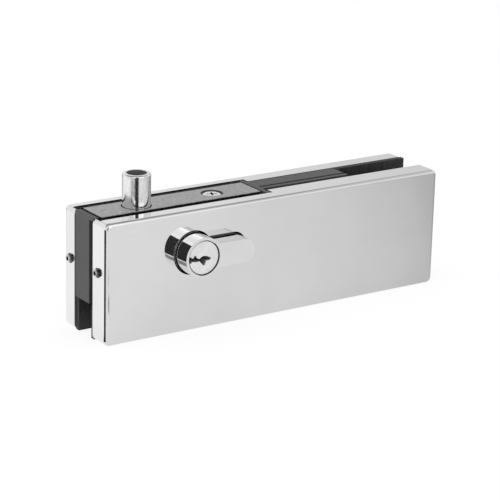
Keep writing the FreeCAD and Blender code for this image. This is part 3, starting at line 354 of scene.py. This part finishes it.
def grubRings(setting, crest, length):
    # rings of (turn, radius, depth) from the bottom of the socket, over the face and along the thread
    turns = [step / setting["sides"] for step in range(setting["sides"])]
    flat = setting["socket"] * math.cos(math.pi / 6)
    hexagon = [flat / math.cos((turn * 2 * math.pi) % (math.pi / 3) - math.pi / 6) for turn in turns]
    wide = setting["socketBevel"]
    rings = [[(turn, radius, setting["socketDepth"]) for turn, radius in zip(turns, hexagon)],
             [(turn, radius, wide) for turn, radius in zip(turns, hexagon)],
             [(turn, radius + wide, 0) for turn, radius in zip(turns, hexagon)]]
    count = round(length / setting["pitch"] * setting["slices"])
    for step in range(count + 1):
        depth = length * step / count
        rings.append([(turn, threadRadius(setting, crest, depth, turn, length), depth) for turn in turns])
    return rings


def addGrubScrew(shape, points, setting, sideX):
    # one screw in the place of the CAD solid with these points in mm
    # inSocket: the dark material of the hexagon socket, painted shade
    bright, threaded, inSocket = range(3)  # the order of its materials
    lowest = [min(point[letter] for point in points) for letter in range(3)]
    highest = [max(point[letter] for point in points) for letter in range(3)]
    axis = [(low + high) / 2 for low, high in zip(lowest, highest)]
    length = highest[0] - lowest[0]
    crest = (highest[1] - lowest[1]) / 2 - setting["crest"]
    outerEnd = axis[0] + sideX * length / 2
    rows = []
    for ring in grubRings(setting, crest, length):
        rows.append([])
        for turn, radius, depth in ring:
            angle = turn * 2 * math.pi
            corner = Vector((outerEnd - sideX * depth, axis[1] + radius * math.cos(angle),
                             axis[2] - sideX * radius * math.sin(angle)))
            rows[-1].append(shape.verts.new(corner * mm))
    for number, (row, following) in enumerate(zip(rows, rows[1:])):
        finish = inSocket if number == 0 else bright if number < setting["brightRows"] else threaded
        for step in range(len(row)):
            turned = (step + 1) % len(row)
            face = shape.faces.new((row[step], row[turned], following[turned], following[step]))
            face.material_index = finish
    shape.faces.new(rows[0]).material_index = inSocket
    shape.faces.new(rows[-1])


def makeGrubScrews(node, setting, looks):
    # threaded screws with a hexagon socket, one in each of the four corners of the fitting
    shape = bmesh.new()
    points = [vertex.co for vertex in nodes[node].data.vertices]
    for sideX in (-1, 1):
        for sideY in (-1, 1):
            own = [point / mm for point in points if point.x * sideX > 0 and point.y * sideY > 0]
            addGrubScrew(shape, own, setting, sideX)
    bmesh.ops.recalc_face_normals(shape, faces=shape.faces)
    thing = addMesh("threaded_grub_screws", [], [], [look["material"] for look in looks])
    shape.to_mesh(thing.data)
    shape.free()
    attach(thing, "fitting")
    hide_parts(node)


darkerThread["material"] = makeSurface(darkerThread)
# the blackened steel goes into the hexagon sockets as painted shade
makeGrubScrews("cover_grub_screws", grubScrew, (brightSteel, darkerThread, blackenedSteel))
print("grub screws threaded")

gasketTrim = {
    "start": 44,  # mm along the fitting, where the lock case ends
    "slope": 0.5,  # mm before it, over which the edge comes down
    "height": 50.5,  # mm: the edge above this height
    "drop": 0.9,  # mm, is trimmed down from there on, behind the flange of the front cover, which hides it
}


def makeTrimmedGasket(node, setting):
    shape = bmesh.new()
    shape.from_mesh(nodes[node].data)
    for cut in (setting["start"] - setting["slope"], setting["start"]):
        bmesh.ops.bisect_plane(shape, geom=shape.verts[:] + shape.edges[:] + shape.faces[:],
                               plane_co=(cut * mm, 0, 0), plane_no=(1, 0, 0))
    betweenCuts = setting["start"] - setting["slope"] / 2
    for vertex in shape.verts:
        if vertex.co.z > setting["height"] * mm and vertex.co.x > betweenCuts * mm:
            vertex.co.z -= setting["drop"] * mm
    thing = addMesh("trimmed_" + node, [], [], [gasketRubber["material"]])
    shape.to_mesh(thing.data)
    shape.free()
    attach(thing, "fitting")
    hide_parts(node)


makeTrimmedGasket("front_gasket", gasketTrim)
print("gasket trimmed")


studio = {
    "floorSize": 8.0,  # m
    "floorColour": "#F2F2F2",
    "floorShow": 0.82,  # share of plain white that hides how the floor is lit
    "floorWhite": 1.05,  # how bright that white is
    # what the metal mirrors in the floor, against mm along it
    "floorTones": ((-90, 0.79), (0, 0.71), (54, 0.585), (70, 0.53), (80, 0.45), (110, 0.34), (170, 0.26)),
    "toneSlant": 0.682,  # mm along for each mm back: the tones run in the direction of the view
    "whiteFrom": (-16.5, -12.5),  # mm: behind the fitting's front the mirrored floor turns whiter,
    "whiteFade": (-71, 60),  # mm along: wholly white on the left, not at all on the right
    "sky": 0.6,  # world brightness on the object
    "skyBehind": ((0.46, 0.87), (0.6, 0.7)),  # what the metal mirrors low behind the fitting, by X
    "skyFront": ((0.3, 0.76), (0.46, 1.0), (0.6, 0.5)),  # low in front, by the X of the direction
    "skyTurn": (0.2, -0.3),  # Y of the direction, from behind to front
    "skyHigh": 0.32,  # and overhead
    "skyRise": (0.48, 0.74),  # Z of the direction, from low to overhead
}
lamps = (
    # name, place in m, size in m, watts, whether the metal mirrors it
    ("top_softbox", (-0.5, 0.3, 1.0), 2.0, 6.5, False),
    ("key_softbox", (-0.3, -1.3, 0.9), 2.4, 8.0, True),
    ("side_softbox", (1.2, -0.5, 0.7), 1.8, 3.0, True),
)
cards = (
    # name, brightness and corners in mm: cards that only the metal mirrors, as clear bands
    # black, for the stripe on the bolt and the bands on the cylinder
    ("floor_card", 0.03, ((-68, -92, 1), (-98, -76, 1), (-190, -140, 1), (-110, -200, 1))),
    ("standing_card", 0.03, ((-110, -200, 1), (-190, -140, 1), (-280, -284, 250), (-135, -360, 250))),
    # black, for the line along the left fold of the front cover
    ("fold_card", 0.03, ((-92, -20, 1), (-92, -7, 1), (-92, -7, 47), (-92, -20, 47))),
    ("foot_card", 0.03, ((-92, -20, 1), (-92, -7, 1), (-83.5, -13, 1), (-83.5, -17, 1))),
    # grey, beside the stripe on the bolt and in a patch on the cylinder
    ("high_grey_card", 0.26, ((-157, -113, 0.8), (-207, -170, 0.8), (-273, -70, 0.8), (-202, -46, 0.8))),
    ("low_grey_card", 0.25, ((-86, -68, 1), (-71, -80, 1), (-58, -64, 1), (-67, -48, 1))),
    # white, to the right of the line along the fold
    ("fold_light", 0.8, ((-81.2, -22, 1), (-92, -20.5, 1), (-92, -20.5, 47), (-81.2, -22, 47))),
)


def rayShare(tree, *kinds):
    # 1 for rays of any of these kinds, else 0
    path = addNode(tree, "ShaderNodeLightPath").outputs
    share = path[kinds[0]]
    for kind in kinds[1:]:
        either = addNode(tree, "ShaderNodeMath", {"operation": "MAXIMUM"}, {0: share, 1: path[kind]})
        share = either.outputs[0]
    return share


def toneRamp(tree, value, tones):
    # grey tones against a length in mm
    start = tones[0][0]
    end = tones[-1][0]
    position = addNode(tree, "ShaderNodeMapRange", {"From Min": start * mm, "From Max": end * mm},
                       {"Value": value}).outputs[0]
    stops = [((far - start) / (end - start), (tone, tone, tone, 1)) for far, tone in tones]
    return addNode(tree, "ShaderNodeValToRGB", {}, {"Fac": position}, stops).outputs[0]


def mirroredFloor(tree, setting):
    # brightness of the floor in the metal: graded along the fitting, and whiter behind it on the left
    place = addNode(tree, "ShaderNodeTexCoord").outputs["Object"]
    parts = addNode(tree, "ShaderNodeSeparateXYZ", {}, {0: place}).outputs
    along = addNode(tree, "ShaderNodeMath", {"operation": "MULTIPLY_ADD", 1: setting["toneSlant"]},
                    {0: parts["Y"], 2: parts["X"]}).outputs[0]
    tones = toneRamp(tree, along, setting["floorTones"])
    full, none = setting["whiteFade"]
    leftSide = addNode(tree, "ShaderNodeMapRange", {"From Min": none * mm, "From Max": full * mm},
                       {"Value": along})
    none, full = setting["whiteFrom"]
    behind = addNode(tree, "ShaderNodeMapRange", {"From Min": none * mm, "From Max": full * mm},
                     {"Value": parts["Y"]})
    white = addNode(tree, "ShaderNodeMath", {"operation": "MULTIPLY"},
                    {0: leftSide.outputs[0], 1: behind.outputs[0]})
    return addNode(tree, "ShaderNodeMapRange", {"To Max": 1.0},
                   {"Value": white.outputs[0], "To Min": tones}).outputs[0]


def makeFloor(setting):
    # a white table: matt for the light that it throws back, near to plain white where the camera sees it
    material, tree, output = newMaterial("white_table")
    mirrored = rayShare(tree, "Is Glossy Ray", "Is Transmission Ray")
    seen = rayShare(tree, "Is Camera Ray", "Is Glossy Ray", "Is Transmission Ray")
    share = addNode(tree, "ShaderNodeMath", {"operation": "MULTIPLY", 1: setting["floorShow"]}, {0: seen})
    level = addNode(tree, "ShaderNodeMapRange", {"To Min": setting["floorWhite"]},
                    {"Value": mirrored, "To Max": mirroredFloor(tree, setting)})
    matt = addNode(tree, "ShaderNodeBsdfDiffuse", {"Color": linear(setting["floorColour"])})
    plain = addNode(tree, "ShaderNodeEmission", {"Color": (1, 1, 1, 1)}, {"Strength": level.outputs[0]})
    mixed = addNode(tree, "ShaderNodeMixShader", {},
                    {0: share.outputs[0], 1: matt.outputs[0], 2: plain.outputs[0]})
    tree.links.new(mixed.outputs[0], output.inputs["Surface"])
    half = setting["floorSize"] / 2
    floor = addMesh("floor", [(-half, -half, 0), (half, -half, 0), (half, half, 0), (-half, half, 0)],
                    [(0, 1, 2, 3)], [material])


def makeCards(rows):
    for name, brightness, corners in rows:
        material, tree, output = newMaterial(name)
        light = addNode(tree, "ShaderNodeEmission", {"Color": (1, 1, 1, 1), "Strength": brightness})
        tree.links.new(light.outputs[0], output.inputs["Surface"])
        card = addMesh(name, [Vector(corner) * mm for corner in corners], [(0, 1, 2, 3)], [material])
        card.visible_camera = False
        card.visible_diffuse = False
        card.visible_shadow = False


def mirroredSky(tree, setting):
    # brightness of the world in the metal, by the direction: low behind, low in front, and overhead
    way = addNode(tree, "ShaderNodeTexCoord").outputs["Generated"]
    parts = addNode(tree, "ShaderNodeSeparateXYZ", {}, {0: way}).outputs
    behind, front = (addNode(tree, "ShaderNodeValToRGB", {}, {"Fac": parts["X"]},
                             [(across, (tone, tone, tone, 1)) for across, tone in tones]).outputs[0]
                     for tones in (setting["skyBehind"], setting["skyFront"]))
    start, end = setting["skyTurn"]
    low = addNode(tree, "ShaderNodeMapRange",
                  {"interpolation_type": "SMOOTHSTEP", "From Min": start, "From Max": end},
                  {"Value": parts["Y"], "To Min": behind, "To Max": front})
    start, end = setting["skyRise"]
    return addNode(tree, "ShaderNodeMapRange",
                   {"interpolation_type": "SMOOTHSTEP", "From Min": start, "From Max": end,
                    "To Max": setting["skyHigh"]},
                   {"Value": parts["Z"], "To Min": low.outputs[0]}).outputs[0]


def makeWorld(setting):
    world = bpy.data.worlds.new("studio")
    bpy.context.scene.world = world
    world.use_nodes = True
    tree = world.node_tree
    tree.nodes.clear()
    output = addNode(tree, "ShaderNodeOutputWorld")
    mirrored = rayShare(tree, "Is Glossy Ray", "Is Transmission Ray")
    around = addNode(tree, "ShaderNodeMapRange", {"To Min": setting["sky"]},
                     {"Value": mirrored, "To Max": mirroredSky(tree, setting)})
    level = addNode(tree, "ShaderNodeMapRange", {"To Max": 1.0},
                    {"Value": rayShare(tree, "Is Camera Ray"), "To Min": around.outputs[0]})
    light = addNode(tree, "ShaderNodeBackground", {"Color": (1, 1, 1, 1)}, {"Strength": level.outputs[0]})
    tree.links.new(light.outputs[0], output.inputs["Surface"])


def makeLamps(rows):
    for name, place, size, watts, mirrored in rows:
        data = bpy.data.lights.new(name, "AREA")
        data.size = size
        data.energy = watts
        lamp = bpy.data.objects.new(name, data)
        lamp.location = place
        lamp.visible_glossy = mirrored
        lamp.rotation_euler = (-Vector(place)).to_track_quat("-Z", "Y").to_euler()
        bpy.context.collection.objects.link(lamp)


makeFloor(studio)
makeCards(cards)
makeWorld(studio)
makeLamps(lamps)
bpy.context.scene.view_settings.view_transform = "Standard"
print("studio lit")
